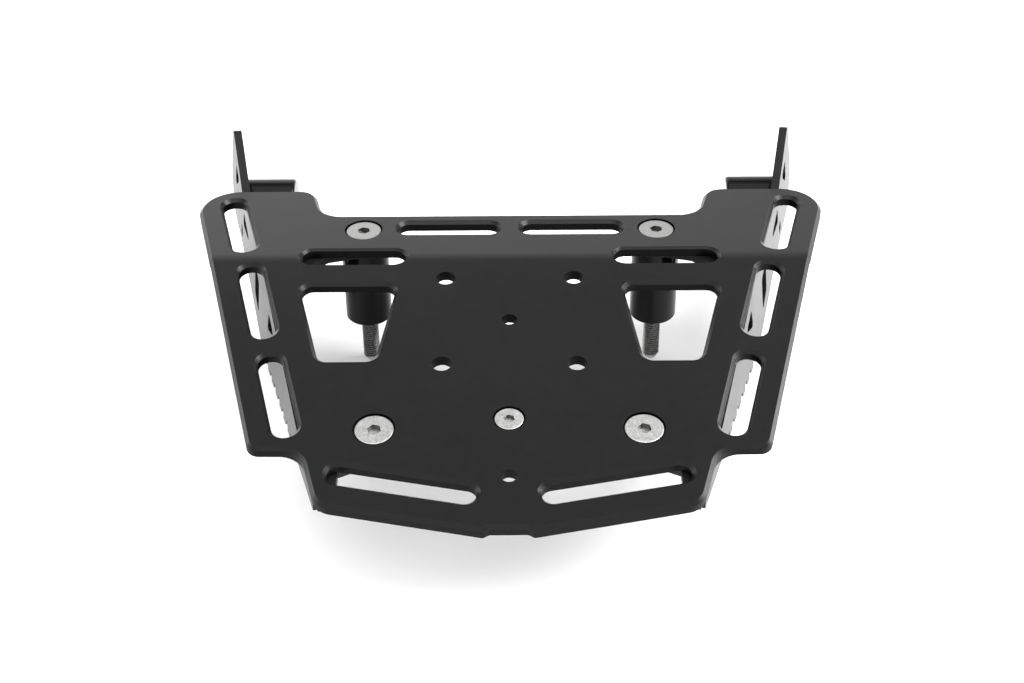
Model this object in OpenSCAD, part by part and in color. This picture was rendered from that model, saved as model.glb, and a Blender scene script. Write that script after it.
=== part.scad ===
// Rear luggage rack for a motorcycle.
// Frame: millimetres, origin on the top face of the deck at the middle of the
// four case holes, X to the right, Y to the front of the machine, Z up.

/* [Deck sheet] */
// thickness of the deck sheet
deck_t = 5; // [3:0.5:8]
// bevel along the top edge of the outline and of each opening
edge_bevel = 1.6; // [0.4:0.1:2.2]
// Y of the bend line in front of the case holes
bend_y = 42.3; // [40:0.1:46]
// angle by which the front flap drops
bend_a = 9.4; // [4:0.2:14]
// radius on the hollow side of the bend
bend_r = 31; // [10:1:60]
// distance from the bend line to the front edge of the horns, along the flap
flap_l = 63.1; // [62:0.1:75]
// depth of the hollow between the two horns
horn_l = 24.7; // [10:0.1:26]

/* [Deck outline] */
// half width at the front corners of the horns
horn_x = 153.7; // [150:0.1:165]
// half width at the side corners behind the first side slot
side_x = 105.8; // [104:0.1:112]
// Y of the side corners
side_y = -75.9; // [-80:0.1:-74]
// half width of the tail at the rear corners
tail_x = 76.3; // [76:0.1:84]
// Y of the rear corners of the tail
tail_y = -105.4; // [-112:0.1:-104]

/* [Case holes] */
// spacing of the four case holes across the deck
case_dx = 57.4; // [50:0.1:60]
// spacing of the four case holes along the deck
case_dy = 54.9; // [50:0.1:60]
// diameter of the four case holes
case_d = 8.5; // [6:0.1:9]
// diameter of the two small holes on the centre line
small_d = 6.6; // [5:0.1:8]

/* [Deck openings] */
// width of the six side slots
side_slot_w = 11; // [8:0.1:11.5]
// length of the six side slots
side_slot_l = 49; // [30:0.5:50]
// width of the two slots in the bend
bend_slot_w = 11; // [8:0.1:12]
// width of the two slots near the front edge
front_slot_w = 10.5; // [8:0.1:11]
// length of the slots in the bend and near the front edge
cross_slot_l = 47; // [30:0.5:48]
// width of the two tail slots
tail_slot_w = 9.6; // [7:0.1:10]
// length of the two tail slots
tail_slot_l = 61; // [40:0.5:62]

/* [Side brackets] */
// thickness of the bracket sheet
bracket_t = 4; // [3:0.25:5]
// depth of the toothed edge at the first tooth
tooth_top = 30.5; // [29:0.1:31]
// pitch of the strap teeth
tooth_pitch = 12.2; // [11.5:0.1:13]
// number of strap teeth
tooth_n = 8; // [3:1:9]
// radius of the notch between two teeth
notch_r = 2; // [1:0.1:2.4]

/* [Fasteners] */
// diameter of the large bolts
bolt_d = 8; // [7:0.5:8.5]
// diameter of the small bolt on the centre line
small_bolt_d = 6; // [5:0.5:6.5]
// length of the two long front bolts under the flap's top face
front_bolt_l = 72; // [60:0.5:80]
// length of the two rear bolts
rear_bolt_l = 20; // [19:0.5:30]
// length of the small centre bolt
center_bolt_l = 16; // [14:0.5:25]
// diameter of the front spacers and of the side bushes
spacer_d = 22; // [18:0.5:24]
// length of the front spacers
spacer_l = 38.4; // [20:0.1:45]

/* [Hidden] */
// facets per circle in a mesh; the curves themselves are true circles
$fn = 20;
e = 0.2;
// curves stop this far short of their tangents, so that faces cross cleanly
shy = 0.003;
// bevel cones stand off their tangent faces by this much, for the same reason
lap = 0.02;
// corner radii of the deck
tail_r = 10;
waist_r = 12;
side_r = 6;
horn_r = 18;
horn_in_r = 9;
hollow_r = 12;
// shallow nick in the middle of the rear edge
nick_x = 7.6;
nick_d = 1.55;
nick_out = 10;
nick_r = 2;
rear_slope = 0.2035;
// Y of the rear edge where it starts beside the nick
rear_y = tail_y - (tail_x - nick_out) * rear_slope;
waist_x = 84.5;
hollow_x = 88.7;
horn_in_x = 95.1;
// lean of the side edges in plan
side_k = (horn_x - side_x) / (bend_y + flap_l - side_y);
side_a = atan(side_k);
bend_x = side_x + side_k * (bend_y - side_y);
deck_top_r = bend_r + deck_t;
bend_tan = deck_top_r * tan(bend_a / 2);
bend_c = [bend_y - bend_tan, -deck_top_r];
reach = 400;
// case windows
win_front_y = 23.8;
win_rear_y = -24.6;
win_r = 5;
window = [[57.5, win_rear_y], [81.65, win_rear_y], [94.1, win_front_y], [50.4, win_front_y]];
// places of the slots, X and distance along the flat sheet
side_slots = [[96.8, -44.7], [111.9, 13.7]];
horn_slot = [127.3, 30.2];
bend_slot = [71.15, 1.35];
front_slot = [28.65, 26.3];
tail_slot = [42.7, -94.5];
tail_slot_a = atan(rear_slope);
// fastener places
rear_bolt = [55.1, -65.2];
center_bolt = [0, -59.5];
rear_hole_y = -91;
front_bolt = [68.3, 24.6];
// heads: countersink seats, small rim over the cone, hexagon socket
csk_d = 2 * bolt_d + 1.7;
small_csk_d = 2 * small_bolt_d + 1.5;
rim_h = 0.4;
bolt_slip = 0.5;
nut_slip = 0.2;
washer_t = 1.6;
washer_d = 2 * bolt_d;
nut_h = 6.5;
nut_af = 13;
small_washer_d = 12;
small_nut_h = 5;
small_nut_af = 10;
end_bevel = 1;
shank_k = 0.9;
// how far the threads start below what the bolts hold
thread_gap = 0.6;
clamp_t = deck_t + bracket_t;
spacer_bevel = 1;
// side bracket web: outer face line in plan, splay and lean
web_x0 = 79.4;
web_x0_y = -91;
web_a = 14.2;
web_lean = 6;
web_y0 = -41;
// web point list origin lies on the outer face at Y = web_y0, Z = 0
web_px = web_x0 + (web_y0 - web_x0_y) * tan(web_a);
web_rear_s = -63;
tooth_s0 = -18;
tooth_k = 0.34;
// bush on the inside of the web, along X
bush = [121, -30];
bush_end_x = 107.3;
bush_bore = 8.5;
flange_w = 12;
flange_y = [-101.5, 79];
flange_in = [69, 80];
ear_r = 12.5;
socket_af = 5;
small_socket_af = 4;

function unit(v) = v / norm(v);
function left_of(v) = [-v[1], v[0]];
function turn(a, b) = atan2(a[0] * b[1] - a[1] * b[0], a[0] * b[0] + a[1] * b[1]);
function dir_in(p, i) = unit(p[i] - p[(i + len(p) - 1) % len(p)]);
function dir_out(p, i) = unit(p[(i + 1) % len(p)] - p[i]);
function corner_turn(p, i) = turn(dir_in(p, i), dir_out(p, i));
function tan_len(p, r, i) = r[i] * abs(tan(corner_turn(p, i) / 2));
function tan_in(p, r, i) = p[i] - dir_in(p, i) * tan_len(p, r, i);
function tan_out(p, r, i) = p[i] + dir_out(p, i) * tan_len(p, r, i);
function arc_c(p, r, i) = tan_in(p, r, i) + left_of(dir_in(p, i)) * r[i] * sign(corner_turn(p, i));

// outline with rounded corners; the points run counter-clockwise
module rounded(p, r) {
    difference() {
        union() {
            polygon([for (i = [0:len(p) - 1]) for (k = [0, 1]) k == 0 ? tan_in(p, r, i) : tan_out(p, r, i)]);
            for (i = [0:len(p) - 1])
                if (r[i] > 0 && corner_turn(p, i) > 0)
                    translate(arc_c(p, r, i)) circle(r = r[i] - shy);
        }
        for (i = [0:len(p) - 1])
            if (r[i] > 0 && corner_turn(p, i) < 0)
                translate(arc_c(p, r, i)) circle(r = r[i] + shy);
    }
}

// how far a straight bevel cutter runs on past a corner; more where it only meets air
function run_on(p, r, i, s) = r[i] == 0 ? 0 : (s * corner_turn(p, i) > 0 ? 0.2 * r[i] : 0.05 * r[i]);

// bevel cutter along one straight stretch, with the metal on its left (s = 1) or right (s = -1)
module edge_cut(a, b, c, s, more_a, more_b) {
    d = b - a;
    f = a - unit(d) * more_a;
    translate([f[0], f[1], 0])
        rotate([0, 0, atan2(d[1], d[0])])
            rotate([90, 0, 90])
                linear_extrude(norm(d) + more_a + more_b)
                    polygon([[-s * e, -c - e], [s * (c + e), e], [-s * e, e]]);
}

// bevel cutter around one corner
module corner_cut(p, r, i, c, s) {
    o = arc_c(p, r, i);
    if (s * corner_turn(p, i) > 0) {
        a = unit(tan_in(p, r, i) - o);
        b = unit(tan_out(p, r, i) - o);
        m = unit(a + b);
        k = 2 * r[i] + 4 * c;
        if (r[i] > 0)
            translate([o[0], o[1], 0])
                intersection() {
                    translate([0, 0, -c - e])
                        difference() {
                            cylinder(h = c + 2 * e, r = r[i] + 5 * e);
                            cylinder(h = c + 2 * e, r1 = r[i] + e + lap, r2 = r[i] - c - e + lap);
                        }
                    translate([0, 0, -c - 2 * e])
                        linear_extrude(c + 4 * e)
                            polygon([[0, 0], a * k, m * k, b * k]);
                }
    } else
        translate([o[0], o[1], -c - e])
            cylinder(h = c + 2 * e, r1 = r[i] - e + lap, r2 = r[i] + c + e + lap);
}

// bevel cutters along a chain of points from the first to the last
module chain_cut(p, r, c, s, first, last) {
    n = len(p);
    for (i = [first:last - 1])
        edge_cut(tan_out(p, r, i % n), tan_in(p, r, (i + 1) % n), c, s,
            i == first && r[i % n] == 0 ? 1 : run_on(p, r, i % n, s),
            i == last - 1 && r[(i + 1) % n] == 0 ? 1 : run_on(p, r, (i + 1) % n, s));
    for (i = [first + 1:last - 1])
        corner_cut(p, r, i % n, c, s);
}

// round-ended slot along X with a bevelled top edge
module slot_cut(l, w, depth) {
    translate([0, 0, -depth])
        linear_extrude(depth + 1)
            union() {
                square([l - w, w], center = true);
                for (x = [-1, 1])
                    translate([x * (l - w) / 2, 0]) circle(d = w);
            }
    for (x = [-1, 1])
        translate([x * (l - w) / 2, 0, -edge_bevel])
            cylinder(h = edge_bevel + e, r1 = w / 2, r2 = w / 2 + edge_bevel + e);
    rotate([90, 0, 90])
        translate([0, 0, -(l - w) / 2])
            linear_extrude(l - w)
                polygon([[-w / 2, -edge_bevel], [w / 2, -edge_bevel],
                    [w / 2 + edge_bevel + e, e], [-w / 2 - edge_bevel - e, e]]);
}

// plain hole
module hole_cut(d, depth) {
    translate([0, 0, -depth]) cylinder(h = depth + 1, d = d);
}

// countersunk hole
module csk_cut(d, head_d, depth) {
    translate([0, 0, -depth]) cylinder(h = depth + 1, d = d + bolt_slip);
    translate([0, 0, -head_d / 2])
        cylinder(h = head_d / 2 + e, r1 = 0, r2 = head_d / 2 + e);
}

// section of a sheet that follows the deck, between two depths under its top face
module sheet_profile(d0, d1) {
    ro = deck_top_r - d0;
    ri = deck_top_r - d1;
    u = [sin(bend_a), cos(bend_a)];
    f = [cos(bend_a), -sin(bend_a)];
    l = bend_tan + reach;
    difference() {
        union() {
            polygon([[-reach, -d1], [bend_c[0], -d1], bend_c + u * ri, bend_c + u * ri + f * l,
                bend_c + u * ro + f * l, bend_c + u * ro, [bend_c[0], -d0], [-reach, -d0]]);
            intersection() {
                translate(bend_c) circle(r = ro - shy);
                polygon([bend_c, bend_c + [0, 2 * ro], bend_c + u * 2 * ro]);
            }
        }
        translate(bend_c) circle(r = ri + shy);
    }
}

module bent_sheet(d0, d1) {
    translate([-reach / 2, 0, 0])
        rotate([90, 0, 90])
            linear_extrude(reach)
                sheet_profile(d0, d1);
}

// moves its children onto the flap; their Y starts at the bend line
module on_flap() {
    translate([0, bend_y, 0]) rotate([-bend_a, 0, 0]) children();
}

module in_bend() {
    translate([0, bend_y, -deck_top_r * (1 / cos(bend_a / 2) - 1) * cos(bend_a / 2)])
        rotate([-bend_a / 2, 0, 0]) children();
}

module both_sides() {
    children();
    mirror([1, 0, 0]) children();
}

// right half of the rear part of the outline, from the nick to the bend
rear_half = [[nick_x, rear_y + nick_d], [nick_out, rear_y], [tail_x, tail_y], [waist_x, side_y],
    [side_x, side_y], [bend_x, bend_y]];
rear_rad = [nick_r, nick_r, tail_r, waist_r, side_r, 0];
n_rear = len(rear_half);
rear_pts = [for (i = [0:2 * n_rear - 1])
    i < n_rear ? rear_half[i] : [-rear_half[2 * n_rear - 1 - i][0], rear_half[2 * n_rear - 1 - i][1]]];
rear_radii = [for (i = [0:2 * n_rear - 1]) i < n_rear ? rear_rad[i] : rear_rad[2 * n_rear - 1 - i]];

// right half of the flap outline, from the bend to the hollow
flap_half = [[bend_x, 0], [horn_x, flap_l], [horn_in_x, flap_l], [hollow_x, flap_l - horn_l]];
flap_rad = [0, horn_r, horn_in_r, hollow_r];
n_flap = len(flap_half);
flap_pts = [for (i = [0:2 * n_flap - 1])
    i < n_flap ? flap_half[i] : [-flap_half[2 * n_flap - 1 - i][0], flap_half[2 * n_flap - 1 - i][1]]];
flap_radii = [for (i = [0:2 * n_flap - 1]) i < n_flap ? flap_rad[i] : flap_rad[2 * n_flap - 1 - i]];

module top_plate() {
    cut_depth = deck_t + 3;
    color([0.13, 0.13, 0.14])
        difference() {
            intersection() {
                bent_sheet(0, deck_t);
                union() {
                    translate([0, 0, -cut_depth]) linear_extrude(cut_depth + 1) rounded(rear_pts, rear_radii);
                    on_flap()
                        translate([0, 0, -cut_depth]) linear_extrude(cut_depth + 1) rounded(flap_pts, flap_radii);
                }
            }
            chain_cut(rear_pts, rear_radii, edge_bevel, 1, n_rear, 3 * n_rear - 1);
            on_flap() chain_cut(flap_pts, flap_radii, edge_bevel, 1, 0, 2 * n_flap - 1);
            both_sides() {
                for (p = side_slots)
                    translate([p[0], p[1], 0])
                        rotate([0, 0, 90 - side_a]) slot_cut(side_slot_l, side_slot_w, cut_depth);
                translate([tail_slot[0], tail_slot[1], 0])
                    rotate([0, 0, tail_slot_a]) slot_cut(tail_slot_l, tail_slot_w, cut_depth);
                translate([0, 0, -cut_depth])
                    linear_extrude(cut_depth + 1) rounded(window, [win_r, win_r, win_r, win_r]);
                chain_cut(window, [win_r, win_r, win_r, win_r], edge_bevel, -1, 0, 4);
                corner_cut(window, [win_r, win_r, win_r, win_r], 0, edge_bevel, -1);
                in_bend() translate([bend_slot[0], bend_slot[1], 0])
                    slot_cut(cross_slot_l, bend_slot_w, cut_depth + 1);
                on_flap() {
                    translate([horn_slot[0], horn_slot[1], 0])
                        rotate([0, 0, 90 - side_a]) slot_cut(side_slot_l, side_slot_w, cut_depth);
                    translate([front_slot[0], front_slot[1], 0])
                        slot_cut(cross_slot_l, front_slot_w, cut_depth);
                    translate([front_bolt[0], front_bolt[1], 0]) csk_cut(bolt_d, csk_d, cut_depth);
                }
                translate([rear_bolt[0], rear_bolt[1], 0]) csk_cut(bolt_d, csk_d, cut_depth);
                for (y = [-1, 1])
                    translate([case_dx / 2, y * case_dy / 2, 0]) hole_cut(case_d, cut_depth);
            }
            translate([center_bolt[0], center_bolt[1], 0]) csk_cut(small_bolt_d, small_csk_d, cut_depth);
            hole_cut(small_d, cut_depth);
            translate([0, rear_hole_y, 0]) hole_cut(small_d, cut_depth);
        }
}

// points on the web are given as distance along it and height over the deck's top face
module on_web() {
    translate([web_px, web_y0, 0])
        rotate([0, 0, 90 - web_a])
            rotate([90 - web_lean, 0, 0]) children();
}

web_pts = [[web_rear_s, -3], [86, -3], [150, -14], [155, -15.5], [189.4, 0.3], [198.5, -32.7],
    [192, -53], [150, -50], [90, -55.5], [75, -tooth_top - 70 * tooth_k],
    [web_rear_s, -tooth_top - (web_rear_s - 5) * tooth_k]];
web_rad = [0, 8, 4, 4, 4, 14, 9, 60, 20, 8, 0];
web_holes = [
    [[46, -13], [62, -13], [67, -27]],
    [[95, -23], [108, -20.5], [110, -41], [98, -44.5]],
    [[126, -26], [150, -23.5], [152, -33]],
    [[167, -17], [178, -14.5], [182, -31]],
    [[156, -39], [161, -38.5], [161.5, -45], [157.5, -45.5]]];
web_hole_r = [1.6, 2.5, 1.6, 2, 1.3];

module rev(p, r) {
    // the list above runs clockwise, so it is read backwards
    rounded([for (i = [len(p) - 1:-1:0]) p[i]], [for (i = [len(p) - 1:-1:0]) r[i]]);
}

module tooth_notch() {
    circle(r = notch_r);
    polygon([[-notch_r, 0], [notch_r, 0], [notch_r + 3.5, -6], [-notch_r + 0.5, -6]]);
}

module web_sheet() {
    on_web()
        translate([0, 0, -bracket_t])
            linear_extrude(bracket_t)
                difference() {
                    rev(web_pts, web_rad);
                    for (i = [0:len(web_holes) - 1])
                        rev(web_holes[i], [for (p = web_holes[i]) web_hole_r[i]]);
                    for (i = [0:tooth_n - 1])
                        translate([tooth_s0 + i * tooth_pitch,
                            -tooth_top - (tooth_s0 + i * tooth_pitch - 5) * tooth_k + notch_r])
                            tooth_notch();
                }
}

// flange under the deck, with an ear at each bolt
module flange() {
    intersection() {
        bent_sheet(deck_t - 1, deck_t + bracket_t);
        translate([0, 0, -60])
            linear_extrude(70) {
                polygon([[flange_in[0], flange_y[0]], [web_line(flange_y[0]), flange_y[0]], [web_line(22), 22],
                    [web_line(flange_y[1]), flange_y[1]], [front_ear[0], flange_y[1]], front_ear,
                    [front_ear[0] + 3, front_ear[1] - 12], [84, 50], [94.5, 40],
                    [web_line(30) - flange_w, 30], [web_line(-30) - flange_w, -30], [flange_in[1], -47],
                    [rear_bolt[0], rear_bolt[1] + ear_r - shy], rear_bolt,
                    [rear_bolt[0], rear_bolt[1] - ear_r + shy], [flange_in[0], -84]]);
                translate(rear_bolt) circle(r = ear_r);
                translate(front_ear) circle(r = ear_r);
            }
    }
}

module side_bracket() {
    difference() {
        union() {
            web_sheet();
            flange();
        }
        // room for the deck
        intersection() {
            bent_sheet(-8, deck_t);
            translate([0, -reach, -reach]) cube([reach, reach + bend_y + flap_l * cos(bend_a) + 1.5, 2 * reach]);
        }
        translate([rear_bolt[0], rear_bolt[1], -40]) cylinder(h = 50, d = bolt_d + bolt_slip);
        on_flap()
            translate([front_bolt[0], front_bolt[1], -40]) cylinder(h = 50, d = bolt_d + bolt_slip);
        translate([0, bush[0], bush[1]]) rotate([0, 90, 0]) cylinder(h = reach, d = bush_bore);
    }
}

// X of a line inside the web's thickness, just under the deck
function web_line(y) = web_x0 + (y - web_x0_y) * tan(web_a) - bracket_t / 4;
front_ear = [front_bolt[0], bend_y + front_bolt[1] * cos(bend_a) - deck_t * sin(bend_a)];

module side_bush() {
    difference() {
        translate([bush_end_x, bush[0], bush[1]])
            rotate([0, 90, 0])
                difference() {
                    union() {
                        translate([0, 0, spacer_bevel]) cylinder(h = 60, d = spacer_d);
                        cylinder(h = spacer_bevel, d1 = spacer_d - 2 * spacer_bevel, d2 = spacer_d);
                    }
                    translate([0, 0, -1]) cylinder(h = 70, d = bush_bore);
                }
        on_web()
            translate([-reach, -reach, -bracket_t]) cube(2 * reach);
    }
}

// countersunk bolt whose seat is a countersink of head_d on the face at Z = 0
// the thread runs from the depth thread_from to the end, the shank over it is thinner
module csk_bolt(d, head_d, l, af, thread_from) {
    head_r = d;
    seat = head_d / 2 - head_r;
    socket = 0.3 * d;
    shank_d = shank_k * d;
    difference() {
        union() {
            translate([0, 0, -seat - head_r + d / 2 - e])
                cylinder(h = head_r - d / 2 + e, r1 = d / 2 - e, r2 = head_r);
            translate([0, 0, -seat]) cylinder(h = rim_h, r = head_r);
            translate([0, 0, -thread_from - 1]) cylinder(h = thread_from - seat, d = shank_d);
            translate([0, 0, -l + end_bevel]) cylinder(h = l - end_bevel - thread_from, d = d);
            translate([0, 0, -l]) cylinder(h = end_bevel, d1 = d - 2 * end_bevel, d2 = d);
        }
        translate([0, 0, -seat + rim_h - socket])
            cylinder(h = socket + 1, d = af / cos(30), $fn = 6);
    }
}

module washer(d, od) {
    difference() {
        cylinder(h = washer_t, d = od);
        translate([0, 0, -1]) cylinder(h = washer_t + 2, d = d + bolt_slip);
    }
}

// hexagon nut with bevelled corners, its seat on Z = 0, body below
module nut(d, af, h) {
    c = af / cos(30);
    difference() {
        intersection() {
            translate([0, 0, -h]) cylinder(h = h, d = c, $fn = 6);
            translate([0, 0, -h]) cylinder(h = h + c / 2, r1 = af / 2 - 0.2, r2 = af / 2 - 0.2 + (h + c / 2) * 1.7);
        }
        translate([0, 0, -h - 1]) cylinder(h = h + 2, d = d + nut_slip);
    }
}

module front_bolt_part() {
    on_flap()
        translate([front_bolt[0], front_bolt[1], 0])
            csk_bolt(bolt_d, csk_d, front_bolt_l, socket_af, clamp_t + spacer_l + thread_gap);
}

module front_spacer_part() {
    on_flap()
        translate([front_bolt[0], front_bolt[1], -clamp_t - spacer_l])
            difference() {
                union() {
                    translate([0, 0, spacer_bevel]) cylinder(h = spacer_l - spacer_bevel, d = spacer_d);
                    cylinder(h = spacer_bevel, d1 = spacer_d - 2 * spacer_bevel, d2 = spacer_d);
                }
                translate([0, 0, -1]) cylinder(h = spacer_l + 2, d = bolt_d + bolt_slip);
            }
}

module rear_bolt_part() {
    translate([rear_bolt[0], rear_bolt[1], 0])
        csk_bolt(bolt_d, csk_d, rear_bolt_l, socket_af, clamp_t);
}

module rear_washer_part() {
    translate([rear_bolt[0], rear_bolt[1], -clamp_t - washer_t]) washer(bolt_d, washer_d);
}

module rear_nut_part() {
    translate([rear_bolt[0], rear_bolt[1], -clamp_t - washer_t]) nut(bolt_d, nut_af, nut_h);
}

module side_bracket_left() { color([0.16, 0.16, 0.17]) mirror([1, 0, 0]) side_bracket(); }
module side_bracket_right() { color([0.16, 0.16, 0.17]) side_bracket(); }
module side_bush_left() { color([0.1, 0.1, 0.1]) mirror([1, 0, 0]) side_bush(); }
module side_bush_right() { color([0.1, 0.1, 0.1]) side_bush(); }
module front_bolt_left() { color("silver") mirror([1, 0, 0]) front_bolt_part(); }
module front_bolt_right() { color("silver") front_bolt_part(); }
module front_spacer_left() { color([0.08, 0.08, 0.08]) mirror([1, 0, 0]) front_spacer_part(); }
module front_spacer_right() { color([0.08, 0.08, 0.08]) front_spacer_part(); }
module rear_bolt_left() { color("silver") mirror([1, 0, 0]) rear_bolt_part(); }
module rear_bolt_right() { color("silver") rear_bolt_part(); }
module rear_washer_left() { color("lightgray") mirror([1, 0, 0]) rear_washer_part(); }
module rear_washer_right() { color("lightgray") rear_washer_part(); }
module rear_nut_left() { color("silver") mirror([1, 0, 0]) rear_nut_part(); }
module rear_nut_right() { color("silver") rear_nut_part(); }

module center_bolt() {
    color("silver")
        translate([center_bolt[0], center_bolt[1], 0])
            csk_bolt(small_bolt_d, small_csk_d, center_bolt_l, small_socket_af, deck_t);
}

module center_washer() {
    color("lightgray")
        translate([center_bolt[0], center_bolt[1], -deck_t - washer_t]) washer(small_bolt_d, small_washer_d);
}

module center_nut() {
    color("silver")
        translate([center_bolt[0], center_bolt[1], -deck_t - washer_t]) nut(small_bolt_d, small_nut_af, small_nut_h);
}

top_plate();
side_bracket_left();
side_bracket_right();
side_bush_left();
side_bush_right();
front_bolt_left();
front_bolt_right();
front_spacer_left();
front_spacer_right();
rear_bolt_left();
rear_bolt_right();
rear_washer_left();
rear_washer_right();
rear_nut_left();
rear_nut_right();
center_bolt();
center_washer();
center_nut();
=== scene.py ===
# %% [markdown]
# # A motorcycle's rear luggage rack
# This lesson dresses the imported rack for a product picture. The rack is a bent
# sheet deck, two toothed side brackets, spacers, and countersunk bolts.
# All places are in the shared frame: metres, origin on the deck's top face in
# the middle of the four case holes, X right, Y to the front, Z up.

import math

import bpy
from mathutils import Matrix, Vector


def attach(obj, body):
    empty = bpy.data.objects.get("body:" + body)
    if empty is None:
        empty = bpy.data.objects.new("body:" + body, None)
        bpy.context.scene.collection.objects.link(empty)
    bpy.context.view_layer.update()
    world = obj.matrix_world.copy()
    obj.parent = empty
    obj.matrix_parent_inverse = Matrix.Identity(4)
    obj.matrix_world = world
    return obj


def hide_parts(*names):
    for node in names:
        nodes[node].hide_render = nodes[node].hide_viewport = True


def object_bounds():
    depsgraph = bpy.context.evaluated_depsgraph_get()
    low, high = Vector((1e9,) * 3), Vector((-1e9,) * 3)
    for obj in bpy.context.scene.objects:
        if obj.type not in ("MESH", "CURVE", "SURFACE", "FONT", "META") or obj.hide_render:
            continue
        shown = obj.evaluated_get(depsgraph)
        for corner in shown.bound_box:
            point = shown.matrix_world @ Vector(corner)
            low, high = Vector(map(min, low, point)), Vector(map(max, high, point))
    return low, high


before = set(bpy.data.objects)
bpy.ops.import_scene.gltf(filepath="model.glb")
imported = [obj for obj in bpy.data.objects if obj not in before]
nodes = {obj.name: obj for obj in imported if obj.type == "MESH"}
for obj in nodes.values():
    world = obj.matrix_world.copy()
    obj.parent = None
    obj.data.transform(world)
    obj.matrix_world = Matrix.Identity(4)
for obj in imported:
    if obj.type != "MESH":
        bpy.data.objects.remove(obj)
size_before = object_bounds()
scene = bpy.context.scene
MM = 0.001
print("nodes:", len(nodes), "box:", size_before)

# %% [markdown]
# ## Sizes used again below
# The flap, the bolts and the spacers are placed from the same numbers as in
# the construction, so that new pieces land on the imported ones.

# %% Shared sizes
BEND_Y = 42.3 * MM
BEND_A = math.radians(9.4)
FLAP_BOLT = (68.3 * MM, 24.6 * MM)
REAR_BOLT = (55.1 * MM, -65.2 * MM)
CENTER_BOLT = (0.0, -59.5 * MM)
SHEET_T = 5 * MM
BRACKET_T = 4 * MM
SPACER_L = 38.4 * MM
FLAP_UP = Vector((0, math.sin(BEND_A), math.cos(BEND_A)))


def flap_point(x, v, depth):
    """A point under the flap: v along the flap from the bend, depth below its face."""
    along = Vector((0, math.cos(BEND_A), -math.sin(BEND_A)))
    return Vector((x, BEND_Y, 0)) + along * v - FLAP_UP * depth


print("front bolt head at", [round(c, 4) for c in flap_point(*FLAP_BOLT, 0)])

# %% [markdown]
# ## Writing node trees as sums
# A `Wire` holds one output socket. Adding or multiplying wires adds Math nodes
# to the tree, so a material reads like the formula behind it.

# %% Wires and paints


class Wire:
    """One output socket of a node tree, with arithmetic."""

    def __init__(self, tree, socket):
        self.tree = tree
        self.socket = socket

    def math(self, operation, other=0.0, third=0.0, clamp=False):
        node = self.tree.nodes.new("ShaderNodeMath")
        node.operation = operation
        node.use_clamp = clamp
        for slot, value in zip(node.inputs, (self, other, third)):
            if isinstance(value, Wire):
                self.tree.links.new(value.socket, slot)
            else:
                slot.default_value = value
        return Wire(self.tree, node.outputs[0])

    def __add__(self, other):
        return self.math("ADD", other)

    def __radd__(self, other):
        return self.math("ADD", other)

    def __sub__(self, other):
        return self.math("SUBTRACT", other)

    def __rsub__(self, other):
        return self.math("MULTIPLY", -1.0).math("ADD", other)

    def __mul__(self, other):
        return self.math("MULTIPLY", other)

    def __rmul__(self, other):
        return self.math("MULTIPLY", other)

    def step(self, low, high):
        """0 below low, 1 above high, a straight ramp between."""
        return ((self - low) * (1.0 / (high - low))).math("MULTIPLY", 1.0, clamp=True)


class Paint:
    """A Principled material whose inputs are fed by wires."""

    def __init__(self, name):
        self.material = bpy.data.materials.new(name)
        self.material.use_nodes = True
        self.tree = self.material.node_tree
        self.bsdf = self.tree.nodes["Principled BSDF"]
        self.place = self.add("TexCoord", out="Object")

    def add(self, kind, out=0, props=None, **inputs):
        """Any shader node: props set its attributes, inputs its sockets."""
        node = self.tree.nodes.new("ShaderNode" + kind)
        for key, value in (props or {}).items():
            setattr(node, key, value)
        for key, value in inputs.items():
            socket = node.inputs[key.replace("_", " ")]
            if isinstance(value, Wire):
                self.tree.links.new(value.socket, socket)
            else:
                socket.default_value = value
        return Wire(self.tree, node.outputs[out])

    def noise(self, scale, detail=3.0, rough=0.55, vector=None):
        return self.add("TexNoise", Vector=vector or self.place, Scale=scale, Detail=detail, Roughness=rough)

    def mix(self, factor, low, high):
        """Blend of two colours."""
        node = self.tree.nodes.new("ShaderNodeMix")
        node.data_type = "RGBA"
        for slot, value in ((0, factor), (6, low), (7, high)):
            if isinstance(value, Wire):
                self.tree.links.new(value.socket, node.inputs[slot])
            elif slot:
                node.inputs[slot].default_value = (*value, 1.0)
            else:
                node.inputs[slot].default_value = value
        return Wire(self.tree, node.outputs[2])

    def scaled(self, factors):
        node = self.tree.nodes.new("ShaderNodeVectorMath")
        node.operation = "MULTIPLY"
        self.tree.links.new(self.place.socket, node.inputs[0])
        node.inputs[1].default_value = factors
        return Wire(self.tree, node.outputs[0])

    def bump(self, height, distance, strength=1.0):
        normal = self.add("Bump", Height=height, Distance=distance, Strength=strength)
        self.feed("Normal", normal)

    def feed(self, name, value):
        socket = self.bsdf.inputs[name]
        if isinstance(value, Wire):
            self.tree.links.new(value.socket, socket)
        else:
            socket.default_value = value


print("node helpers ready")

# %% [markdown]
# ## Black coatings and plated steel
# The deck is a satin black coat: nearly all its light is mirrored, so the base
# is very dark and the roughness low. Noise that is long in Z gives a fine grain
# on the top faces and upright milling marks on the cut walls.
# The brackets carry the same satin coat, a little lighter and with a lower specular level. The spacers are gloss
# black.

# %% Materials


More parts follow.
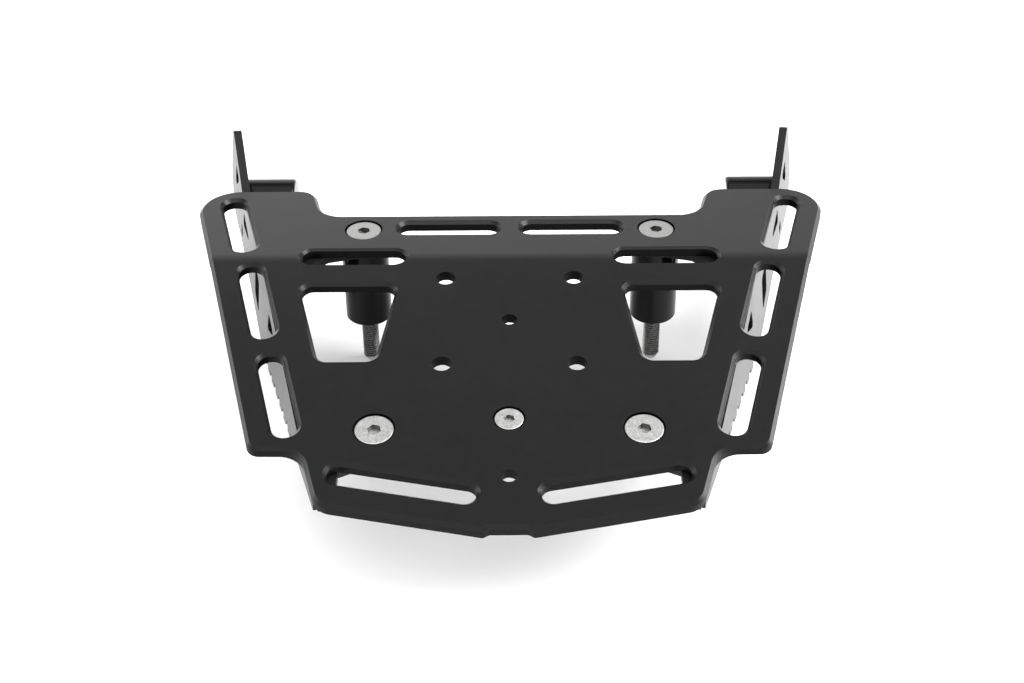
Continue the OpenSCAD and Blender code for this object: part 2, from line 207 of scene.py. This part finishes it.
def satin_black(name, tone, sheen, level, coat):
    p = Paint(name)
    drift = p.noise(14.0, 4.0)
    cloud = p.noise(160.0, 5.0, 0.6)
    fine = p.noise(3200.0, 2.0, 0.6)
    milled = p.noise(1.0, 2.0, 0.5, vector=p.scaled((1500.0, 1500.0, 25.0)))
    rubs = p.noise(1.0, 6.0, 0.7, vector=p.scaled((60.0, 420.0, 60.0))).step(0.62, 0.80)
    dust = p.noise(900.0, 3.0, 0.6).step(0.70, 0.78)
    dark = tuple(0.7 * c for c in tone)
    light = tuple(1.35 * c for c in tone)
    worn = p.mix(cloud * 0.5 + milled * 0.5, dark, light)
    p.feed("Base Color", p.mix(dust * 0.5, worn, (0.05, 0.05, 0.052)))
    p.feed("Roughness", sheen + (drift - 0.5) * 0.10 + (cloud - 0.5) * 0.08 + rubs * 0.08 + dust * 0.15)
    p.feed("Specular IOR Level", level)
    p.feed("Coat Weight", coat)
    p.feed("Coat Roughness", 0.10)
    p.bump(fine * 0.5 + milled * 0.8 + cloud * 0.6, 0.00003)
    return p.material


def gloss_black(name, tone):
    p = Paint(name)
    drift = p.noise(60.0, 3.0)
    rings = p.noise(1.0, 2.0, 0.5, vector=p.scaled((30.0, 30.0, 1600.0)))
    p.feed("Base Color", p.mix(drift, tuple(0.7 * c for c in tone), tuple(1.3 * c for c in tone)))
    p.feed("Roughness", 0.05 + drift * 0.06 + rings * 0.04)
    p.feed("Specular IOR Level", 0.12)
    p.bump(rings * 0.7 + p.noise(500.0, 2.0) * 0.5, 0.00001, 0.6)
    return p.material


def plated_steel(name, tone, rough, grain):
    p = Paint(name)
    # Ambient occlusion paints the base colour darker in narrow crevices: painted shade.
    crevice_shade = p.add("AmbientOcclusion", out=1, Distance=0.0008)
    cloud = p.noise(520.0, 5.0, 0.65)
    patch = p.noise(1400.0, 3.0, 0.6).step(0.35, 0.65)
    speck = p.noise(3600.0, 2.0, 0.6)
    low = tuple((1.0 - 0.9 * grain) * c for c in tone)
    plated = p.mix(cloud * 0.4 + patch * 0.35 + speck * 0.25, low, tone)
    p.feed("Base Color", p.mix(crevice_shade.step(0.25, 0.85), tuple(0.25 * c for c in tone), plated))
    p.feed("Metallic", 1.0)
    p.feed("Roughness", rough + (cloud - 0.5) * 0.25 + (patch - 0.5) * 0.10)
    p.bump(cloud * 0.5 + patch * 0.3 + speck * 0.4, 0.00004, grain)
    return p.material


deck_black = satin_black("deck_black", (0.003, 0.0031, 0.0033), 0.30, 0.24, 0.0)
deck_cut_black = satin_black("deck_cut_black", (0.0025, 0.0025, 0.0026), 0.42, 0.06, 0.0)
bracket_black = satin_black("bracket_black", (0.008, 0.008, 0.0084), 0.30, 0.12, 0.0)
spacer_black = gloss_black("spacer_black", (0.003, 0.003, 0.0032))
bolt_steel = plated_steel("bolt_steel", (0.62, 0.62, 0.61), 0.42, 0.6)
# The flap bolts are the same plated steel as the rear bolts in a darker tone, a shaded copy of it: painted shade.
flap_bolt_shaded_steel = plated_steel("flap_bolt_shaded_steel", (0.45, 0.45, 0.445), 0.42, 0.6)
# A darker copy of the plated steel for the hexagon socket's walls: painted shade in the socket.
socket_shade_steel = plated_steel("socket_shade_steel", (0.17, 0.17, 0.166), 0.30, 0.3)
# The threads are the same plated steel as the heads in a darker tone, standing in for the shade under the sheet:
# painted shade.
thread_shaded_steel = plated_steel("thread_shaded_steel", (0.25, 0.25, 0.245), 0.30, 0.3)
nut_steel = plated_steel("nut_steel", (0.66, 0.66, 0.65), 0.40, 0.4)
print("materials:", [m.name for m in bpy.data.materials])

# %% [markdown]
# ## Sheet pieces
# The deck and the brackets keep their constructed shape. A copy is merged into
# one skin, and its hard edges are broken by a quarter of a millimetre, which
# catches a thin line of light as on the real sheet.

# %% Sheet pieces


def select_only(piece):
    bpy.ops.object.select_all(action="DESELECT")
    piece.select_set(True)
    bpy.context.view_layer.objects.active = piece


def run_edit(piece, steps):
    """Runs edit-mode steps on the whole piece."""
    select_only(piece)
    bpy.ops.object.mode_set(mode="EDIT")
    bpy.ops.mesh.select_mode(type="FACE")
    bpy.ops.mesh.select_all(action="SELECT")
    steps()
    bpy.ops.object.mode_set(mode="OBJECT")


def smooth(piece):
    """Smooth shading that leaves large flat faces flat."""
    select_only(piece)
    bpy.ops.object.shade_smooth_by_angle(angle=math.radians(30))
    flat = piece.modifiers.new("flat", "WEIGHTED_NORMAL")
    flat.keep_sharp = True
    flat.weight = 100
    bpy.ops.object.modifier_apply(modifier="flat")


def skin_of(node, name, material, edge, more=None):
    """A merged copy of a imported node, with broken edges."""
    piece = nodes[node].copy()
    piece.data = nodes[node].data.copy()
    piece.name = name
    piece.parent = None
    for key in list(piece.keys()):
        del piece[key]
    scene.collection.objects.link(piece)
    piece.data.materials.clear()
    piece.data.materials.append(material)

    def merge():
        bpy.ops.mesh.remove_doubles(threshold=2e-6)
        bpy.ops.mesh.dissolve_limited(angle_limit=math.radians(0.4))

    run_edit(piece, merge)
    if more:
        more(piece)
    if edge:
        bevel = piece.modifiers.new("edge", "BEVEL")
        bevel.width = edge
        bevel.segments = 2
        bevel.limit_method = "ANGLE"
        bevel.angle_limit = math.radians(28)
        bevel.harden_normals = False
        select_only(piece)
        bpy.ops.object.modifier_apply(modifier="edge")
    smooth(piece)
    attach(piece, "root")
    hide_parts(node)
    return piece


def cut_seat(sheet, place, tilt, radius, depth):
    """Opens a countersink into a round seat with an upright wall."""
    bpy.ops.mesh.primitive_cylinder_add(vertices=128, radius=radius, depth=2 * depth, location=place, rotation=(-tilt, 0, 0))
    cutter = bpy.context.object
    bpy.ops.object.transform_apply(location=True, rotation=True, scale=True)
    seat = sheet.modifiers.new("seat", "BOOLEAN")
    seat.operation = "DIFFERENCE"
    seat.solver = "EXACT"
    seat.object = cutter
    select_only(sheet)
    bpy.ops.object.modifier_apply(modifier="seat")
    bpy.data.objects.remove(cutter)


def open_seats(sheet):
    for sign in (-1, 1):
        cut_seat(sheet, flap_point(sign * FLAP_BOLT[0], FLAP_BOLT[1], 0), BEND_A, 8.8 * MM, 1.7 * MM)
        cut_seat(sheet, (sign * REAR_BOLT[0], REAR_BOLT[1], 0), 0, 8.8 * MM, 1.7 * MM)
    cut_seat(sheet, (CENTER_BOLT[0], CENTER_BOLT[1], 0), 0, 6.75 * MM, 1.5 * MM)


def dull_walls(sheet, metal):
    """Gives the upright cut walls their own, duller coat."""
    sheet.data.materials.append(metal)
    for face in sheet.data.polygons:
        if abs(face.normal.z) < 0.35:
            face.material_index = 1


deck = skin_of("top_plate", "deck", deck_black, 0.10 * MM, open_seats)
dull_walls(deck, deck_cut_black)
brackets = []
for side in ("left", "right"):
    bracket = skin_of("side_bracket_" + side, "bracket_" + side, bracket_black, 0.12 * MM)
    brackets.append(bracket)
print("sheet pieces:", [(p.name, len(p.data.polygons)) for p in [deck] + brackets])

# %% [markdown]
# ## Spacers, bushes, washers and nuts
# Spacers and bushes are turned bar in gloss black. The plated washers and nuts
# sit under the sheet, where only the other views see them.

# %% Spacers, bushes, washers and nuts
for side in ("left", "right"):
    for kind in ("front_spacer", "side_bush"):
        piece = skin_of(f"{kind}_{side}", f"{kind}_skin_{side}", spacer_black, 0.5 * MM)
    for kind in ("rear_washer", "rear_nut"):
        piece = skin_of(f"{kind}_{side}", f"{kind}_skin_{side}", nut_steel, 0.15 * MM)
for kind in ("center_washer", "center_nut"):
    piece = skin_of(kind, kind + "_skin", nut_steel, 0.15 * MM)

# %% [markdown]
# ## Countersunk bolts
# Each bolt is turned from its half profile: flat head, cone, thin shank, and a
# core for the thread. A hexagon is cut out of the head. The thread is one
# groove profile wound round the core.

# %% Countersunk bolts


def turned(name, profile, steps=96):
    """Spins a half profile of (radius, height) points around Z into a solid."""
    bpy.ops.mesh.primitive_plane_add(size=1 * MM, location=(0, 0, 0))
    piece = bpy.context.object
    piece.name = name
    select_only(piece)
    bpy.ops.object.mode_set(mode="EDIT")
    bpy.ops.mesh.select_mode(type="VERT")
    bpy.ops.mesh.select_all(action="SELECT")
    bpy.ops.mesh.merge(type="CENTER")
    bpy.ops.mesh.select_all(action="SELECT")
    bpy.ops.transform.translate(value=(profile[0][0], 0, profile[0][1]))
    for (r0, z0), (r1, z1) in zip(profile, profile[1:]):
        bpy.ops.mesh.extrude_region_move(TRANSFORM_OT_translate={"value": (r1 - r0, 0, z1 - z0)})
    bpy.ops.mesh.select_all(action="SELECT")
    bpy.ops.mesh.spin(steps=steps, angle=2 * math.pi, center=(0, 0, 0), axis=(0, 0, 1))
    bpy.ops.mesh.select_all(action="SELECT")
    bpy.ops.mesh.remove_doubles(threshold=1e-6)
    bpy.ops.mesh.normals_make_consistent(inside=False)
    bpy.ops.object.mode_set(mode="OBJECT")
    return piece


def cut_hexagon(head, top, depth, across):
    """Cuts a hexagon socket into the head."""
    bpy.ops.mesh.primitive_cylinder_add(
        vertices=6, radius=across / math.sqrt(3), depth=2 * depth, location=(0, 0, top), rotation=(0, 0, math.radians(12))
    )
    cutter = bpy.context.object
    bpy.ops.object.transform_apply(location=True, rotation=True, scale=True)
    hole = head.modifiers.new("socket", "BOOLEAN")
    hole.operation = "DIFFERENCE"
    hole.solver = "EXACT"
    hole.object = cutter
    select_only(head)
    bpy.ops.object.modifier_apply(modifier="socket")
    bpy.data.objects.remove(cutter)


def wound_thread(name, crest, root, pitch, start, end):
    """A screw thread between two heights, as one groove wound round Z."""
    bpy.ops.mesh.primitive_plane_add(size=1 * MM, location=(0, 0, 0))
    piece = bpy.context.object
    piece.name = name
    select_only(piece)
    bpy.ops.object.mode_set(mode="EDIT")
    bpy.ops.mesh.select_mode(type="VERT")
    bpy.ops.mesh.select_all(action="SELECT")
    bpy.ops.mesh.merge(type="CENTER")
    bpy.ops.mesh.select_all(action="SELECT")
    bpy.ops.transform.translate(value=(root, 0, end))
    for dr, dz in ((0, 0.15), (crest - root, 0.3), (0, 0.2), (root - crest, 0.35)):
        bpy.ops.mesh.extrude_region_move(TRANSFORM_OT_translate={"value": (dr, 0, dz * pitch)})
    bpy.ops.object.mode_set(mode="OBJECT")
    turns = round((start - end) / pitch) - 1
    wind = piece.modifiers.new("wind", "SCREW")
    wind.axis = "Z"
    wind.steps = 48
    wind.render_steps = 48
    wind.screw_offset = pitch
    wind.iterations = turns
    wind.use_normal_calculate = True
    bpy.ops.object.modifier_apply(modifier="wind")

    def weld():
        bpy.ops.mesh.remove_doubles(threshold=1e-6)
        bpy.ops.mesh.normals_make_consistent(inside=False)

    run_edit(piece, weld)
    return piece


def countersunk_bolt(node, metal, d, opening, length, across, thread_from, pitch, place, tilt):
    head_r = d
    seat = opening / 2 - head_r
    top = 0.4 * MM - seat
    soft = 0.25 * MM
    root = d / 2 - 0.61 * pitch
    shank = 0.45 * d
    profile = [
        (0, top), (head_r - 2.2 * soft, top), (head_r - soft, top - 0.1 * soft), (head_r - 0.3 * soft, top - 0.4 * soft),
        (head_r, top - soft), (head_r, -seat - 0.1 * MM), (head_r - 0.1 * MM, -seat - 0.25 * MM),
        (shank, -seat - head_r + shank), (shank, -thread_from), (root, -thread_from - 0.4 * MM),
        (root, -length + 0.9 * MM), (root - 0.8 * MM, -length), (0, -length),
    ]
    head = turned(node + "_skin", profile)
    cut_hexagon(head, top, 0.3 * d, across * 1.04)
    edge = head.modifiers.new("edge", "BEVEL")
    edge.width = 0.10 * MM
    edge.segments = 2
    edge.limit_method = "ANGLE"
    edge.angle_limit = math.radians(50)
    select_only(head)
    bpy.ops.object.modifier_apply(modifier="edge")
    head.data.materials.append(metal)
    # The second material, a darker steel on the socket walls, is painted shade.
    head.data.materials.append(socket_shade_steel)
    for face in head.data.polygons:
        if face.center.xy.length < 0.56 * across and face.center.z < top and abs(face.normal.z) < 0.5:
            face.material_index = 1
    thread = wound_thread(node + "_thread", d / 2, root, pitch, -thread_from - 0.2 * MM, -length + 0.8 * MM)
    thread.data.materials.append(thread_shaded_steel)
    bpy.ops.object.select_all(action="DESELECT")
    thread.select_set(True)
    head.select_set(True)
    bpy.context.view_layer.objects.active = head
    bpy.ops.object.join()
    head.rotation_euler = (-tilt, 0, 0)
    head.location = place
    select_only(head)
    bpy.ops.object.transform_apply(location=True, rotation=True, scale=True)
    smooth(head)
    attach(head, "root")
    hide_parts(node)
    return head


CLAMPED = SHEET_T + BRACKET_T
for side, sign in (("left", -1), ("right", 1)):
    spot = flap_point(sign * FLAP_BOLT[0], FLAP_BOLT[1], 0)
    countersunk_bolt(
        "front_bolt_" + side, flap_bolt_shaded_steel, 8 * MM, 17.7 * MM, 72 * MM, 5 * MM,
        CLAMPED + SPACER_L + 0.6 * MM, 1.25 * MM, spot, BEND_A,
    )
    spot = Vector((sign * REAR_BOLT[0], REAR_BOLT[1], 0))
    countersunk_bolt("rear_bolt_" + side, bolt_steel, 8 * MM, 17.7 * MM, 20 * MM, 5 * MM, CLAMPED, 1.25 * MM, spot, 0)
spot = Vector((CENTER_BOLT[0], CENTER_BOLT[1], 0))
countersunk_bolt("center_bolt", bolt_steel, 6 * MM, 13.5 * MM, 16 * MM, 4 * MM, SHEET_T, 1.0 * MM, spot, 0)

# %% [markdown]
# ## Floor, light and camera
# The picture is a bright catalogue shot: white ground, broad soft light, and a
# glow near the horizon that the sloping flap mirrors.

# %% Floor
FLOOR_Z = size_before[0][2] - 0.0005
bpy.ops.mesh.primitive_plane_add(size=8, location=(0, 0.6, FLOOR_Z))
floor = bpy.context.object
floor.name = "studio_floor"
floor_paint = Paint("studio_floor")
floor_paint.feed("Base Color", (0.93, 0.93, 0.93, 1))
floor_paint.feed("Roughness", 0.9)
floor.data.materials.append(floor_paint.material)

# %% World
world = bpy.data.worlds.new("studio")
scene.world = world
world.use_nodes = True
tree = world.node_tree
tree.nodes.clear()


def world_node(kind, **props):
    node = tree.nodes.new("ShaderNode" + kind)
    for key, value in props.items():
        setattr(node, key, value)
    return node


coord = world_node("TexCoord")
split = world_node("SeparateXYZ")
tree.links.new(coord.outputs["Generated"], split.inputs[0])
height = Wire(tree, split.outputs["Z"])
front = Wire(tree, split.outputs["Y"]).step(-0.2, 0.6)
low = 1.0 - height.step(0.47, 0.62)
high = height.step(0.78, 0.92)
across = Wire(tree, split.outputs["X"]).step(-0.3, 0.7)
horizon = (front * 0.9 + 1.2) * (1.25 - across * 0.85)
glow = low * horizon + (1.0 - low) * (1.5 - front * 0.92) + high * 2.2
dim = world_node("Background")
tree.links.new(glow.socket, dim.inputs["Strength"])
plain = world_node("Background")
plain.inputs["Strength"].default_value = 1.0
path = world_node("LightPath")
blend = world_node("MixShader")
out = world_node("OutputWorld")
tree.links.new(path.outputs["Is Camera Ray"], blend.inputs[0])
tree.links.new(dim.outputs[0], blend.inputs[1])
tree.links.new(plain.outputs[0], blend.inputs[2])
tree.links.new(blend.outputs[0], out.inputs[0])

# %% Lights


def softbox(name, place, aim, size, power):
    bpy.ops.object.light_add(type="AREA", location=place)
    lamp = bpy.context.object
    lamp.name = name
    lamp.data.shape = "RECTANGLE"
    lamp.data.size, lamp.data.size_y = size
    lamp.data.energy = power
    lamp.rotation_euler = (Vector(aim) - Vector(place)).to_track_quat("-Z", "Y").to_euler()
    return lamp


softbox("right_top", (1.3, 0.25, 1.3), (0.35, 0.15, -0.1), (1.0, 1.0), 44)
softbox("right_low", (0.8, 0.0, 0.10), (0, 0.0, FLOOR_Z), (0.9, 0.25), 6)
softbox("left_low", (-0.8, 0.0, 0.10), (0, 0.0, FLOOR_Z), (0.9, 0.25), 1.5)
softbox("rear_low", (0.0, -0.8, 0.16), (0, 0.0, FLOOR_Z), (1.0, 0.25), 3)

# %% Camera
camera_data = bpy.data.cameras.new("camera")
camera_data.lens = 57.47
camera_data.sensor_width = 36
camera = bpy.data.objects.new("camera", camera_data)
scene.collection.objects.link(camera)
camera.matrix_world = (
    Matrix.Translation((5.79 * MM, -522.98 * MM, 484.42 * MM))
    @ Matrix.Rotation(math.radians(0.526), 4, "Z")
    @ Matrix.Rotation(math.radians(90 - 43.586), 4, "X")
    @ Matrix.Rotation(math.radians(-0.686), 4, "Z")
)
scene.camera = camera
scene.view_settings.view_transform = "Standard"
